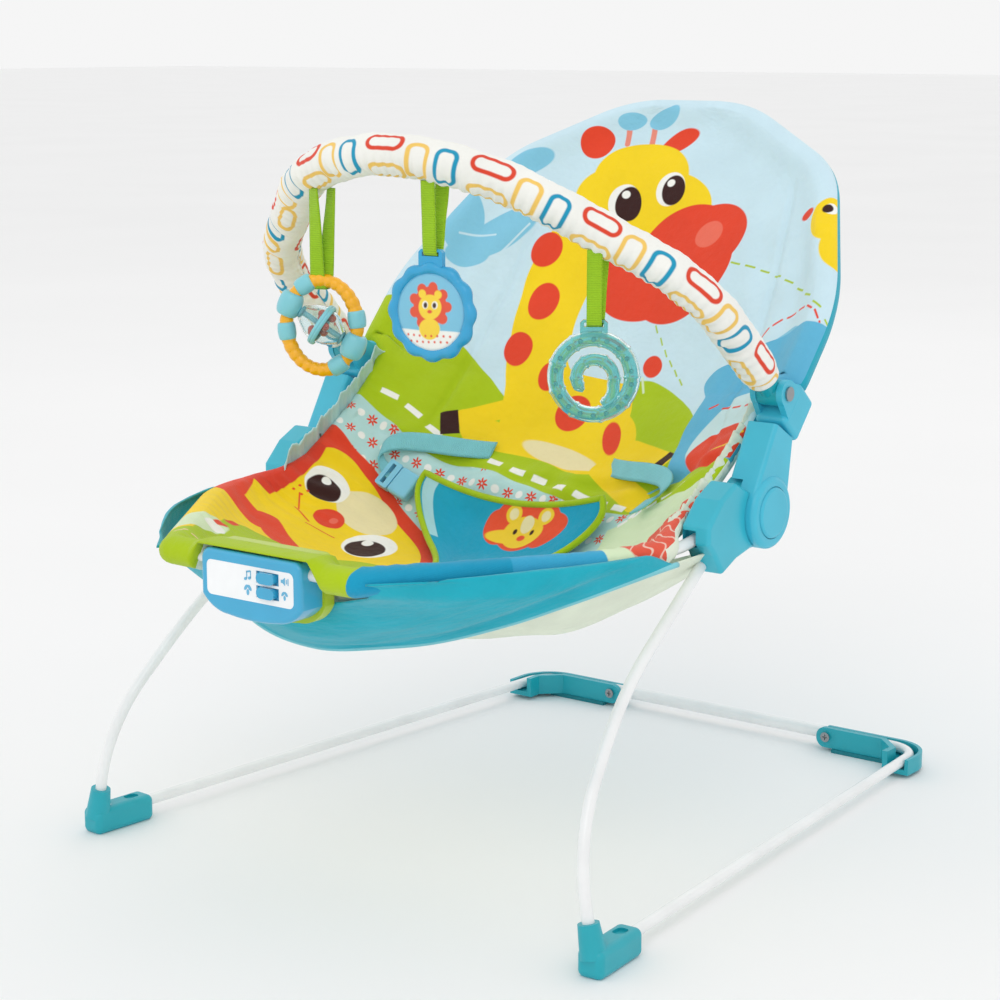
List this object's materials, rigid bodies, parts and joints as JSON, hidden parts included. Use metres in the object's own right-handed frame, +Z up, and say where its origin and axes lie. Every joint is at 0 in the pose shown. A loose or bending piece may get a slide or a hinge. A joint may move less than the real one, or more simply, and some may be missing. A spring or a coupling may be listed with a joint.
{
  "type": "baby bouncer seat",
  "caption": "Baby bouncer seat: bent-rod rocking base, reclining padded backrest, hammock seat, hinged toy bar with hanging toys, music and vibration unit.",
  "frame": {"origin": "on the floor, under the middle of the whole seat", "axes": "+Z up, +X towards the child's left, +Y from the feet towards the head"},
  "size_m": [0.4596, 0.5846, 0.5179],
  "materials": {
    "painted_rod": "white powder-coated bent rod",
    "steel_tube": "powder-coated tube",
    "teal_plastic": "moulded teal plastic",
    "light_teal_plastic": "moulded light teal plastic",
    "rubber": "dark teal rubber",
    "steel": "zinc-plated steel",
    "bar_core": "flexible plastic bar",
    "print_fabric": null,
    "roll_fabric": "gathered padded polyester",
    "teal_fabric": "plain woven polyester",
    "pad_fabric": "padded polyester with lime binding",
    "webbing": "woven webbing",
    "loop_webbing": "lime ribbon",
    "sleeve_fabric": "padded white sleeve with a link print",
    "buckle_plastic": "moulded light blue plastic",
    "unit_blue": "satin blue plastic",
    "unit_lime": "satin lime plastic",
    "panel_white": "white inlay with pale blue icons",
    "battery": "dry cell",
    "circuit": "circuit board",
    "speaker_black": "loudspeaker",
    "ring_orange": "orange-yellow plastic",
    "clamp_aqua": "pale aqua plastic",
    "clear_plastic": "clear plastic",
    "bead": "coloured beads",
    "disc_blue": "blue plastic",
    "disc_print": "printed insert",
    "teether_gel": "translucent teal gel"
  },
  "bodies": {
    "base": {"buckle_socket": "buckle_plastic", "case_screws": "steel", "crotch_pad": "pad_fabric", "front_foot_left": "teal_plastic", "front_foot_right": "teal_plastic", "hub_inner_shell_left": "teal_plastic", "hub_inner_shell_right": "teal_plastic", "hub_outer_shell_left": "teal_plastic", "hub_outer_shell_right": "teal_plastic", "leg_rod_left": "painted_rod", "leg_rod_right": "painted_rod", "pivot_bolts": "steel", "rear_bracket_left": "teal_plastic", "rear_bracket_right": "teal_plastic", "rear_bracket_screws": "steel", "rear_cross_tube": "painted_rod", "rear_foot_pads": "rubber", "seat_pad": "print_fabric", "seat_rod": "painted_rod", "seat_rolls": "roll_fabric", "seat_wings": "print_fabric", "underside_pocket": "teal_fabric", "unit_batteries": "battery", "unit_battery_door": "unit_lime", "unit_circuit_board": "circuit", "unit_face_panel": "panel_white", "unit_front_case": "unit_blue", "unit_rear_cover": "unit_lime", "unit_speaker": "speaker_black", "vibration_motor": "steel", "waist_straps": "webbing"},
    "backrest": {"backrest_pad": "print_fabric", "backrest_roll": "roll_fabric", "backrest_tube": "steel_tube", "recline_arm_inner_left": "light_teal_plastic", "recline_arm_inner_right": "light_teal_plastic", "recline_arm_outer_left": "light_teal_plastic", "recline_arm_outer_right": "light_teal_plastic", "toy_bar_collar_left": "light_teal_plastic", "toy_bar_collar_right": "light_teal_plastic", "toy_bar_pins": "steel"},
    "button_left": {"recline_button_left": "light_teal_plastic"},
    "button_right": {"recline_button_right": "light_teal_plastic"},
    "toy_bar": {"toy_bar_rod": "bar_core", "toy_bar_sleeve": "sleeve_fabric", "toy_bar_plugs": "teal_plastic"},
    "rattle": {"rattle_loop": "loop_webbing", "rattle_ring": "ring_orange", "rattle_axle": "clamp_aqua"},
    "rattle_barrel": {"rattle_barrel": "clear_plastic", "rattle_beads": "bead"},
    "disc": {"disc_loop": "loop_webbing", "disc_frame": "disc_blue", "disc_insert": "disc_print"},
    "teether": {"teether_loop": "loop_webbing", "teether_ring": "teether_gel"},
    "volume_switch": {"volume_switch": "unit_blue"},
    "vibration_switch": {"vibration_switch": "unit_blue"},
    "motor_weight": {"motor_weight": "steel"},
    "buckle_tongue": {"buckle_tongue": "buckle_plastic"}
  },
  "joints": [
    {"name": "recline", "type": "hinge", "parent": "base", "child": "backrest", "pos_m": [0, 0.0073, 0.252], "axis": [-1, 0, 0], "range_deg": [0, 20]},
    {"name": "button_left_press", "type": "slide", "parent": "backrest", "child": "button_left", "axis": [-1, 0, 0], "range_m": [0, 0.003], "stiffness_N_per_m": 500},
    {"name": "button_right_press", "type": "slide", "parent": "backrest", "child": "button_right", "axis": [1, 0, 0], "range_m": [0, 0.003], "stiffness_N_per_m": 500},
    {"name": "toy_bar_swing", "type": "hinge", "parent": "backrest", "child": "toy_bar", "pos_m": [0, 0.0275, 0.3306], "axis": [-1, 0, 0], "range_deg": [-10, 40]},
    {"name": "rattle_swing", "type": "hinge", "parent": "toy_bar", "child": "rattle", "pos_m": [-0.07189, -0.13674, 0.47979], "axis": [-0.9008, 0.3214, -0.2919], "range_deg": [-45, 30]},
    {"name": "disc_swing", "type": "hinge", "parent": "toy_bar", "child": "disc", "pos_m": [0.03415, -0.1472, 0.48929], "axis": [-0.9734, -0.1695, 0.154], "range_deg": [-45, 30]},
    {"name": "teether_swing", "type": "hinge", "parent": "toy_bar", "child": "teether", "pos_m": [0.13081, -0.10008, 0.44648], "axis": [-0.6997, -0.5288, 0.4804], "range_deg": [-30, 20]},
    {"name": "rattle_barrel_spin", "type": "hinge", "parent": "rattle", "child": "rattle_barrel", "pos_m": [-0.07189, -0.13674, 0.37329], "axis": [0.7263, 0.4193, -0.5446], "continuous": true},
    {"name": "volume_switch_slide", "type": "slide", "parent": "base", "child": "volume_switch", "axis": [1, 0, 0], "range_m": [-0.002, 0.002]},
    {"name": "vibration_switch_slide", "type": "slide", "parent": "base", "child": "vibration_switch", "axis": [1, 0, 0], "range_m": [-0.002, 0.002]},
    {"name": "motor_weight_spin", "type": "hinge", "parent": "base", "child": "motor_weight", "pos_m": [0.03275, -0.2692, 0.22], "axis": [1, 0, 0], "continuous": true},
    {"name": "buckle_release", "type": "slide", "parent": "base", "child": "buckle_tongue", "axis": [-0.9302, 0, 0.3671], "range_m": [0, 0.018]}
  ]
}
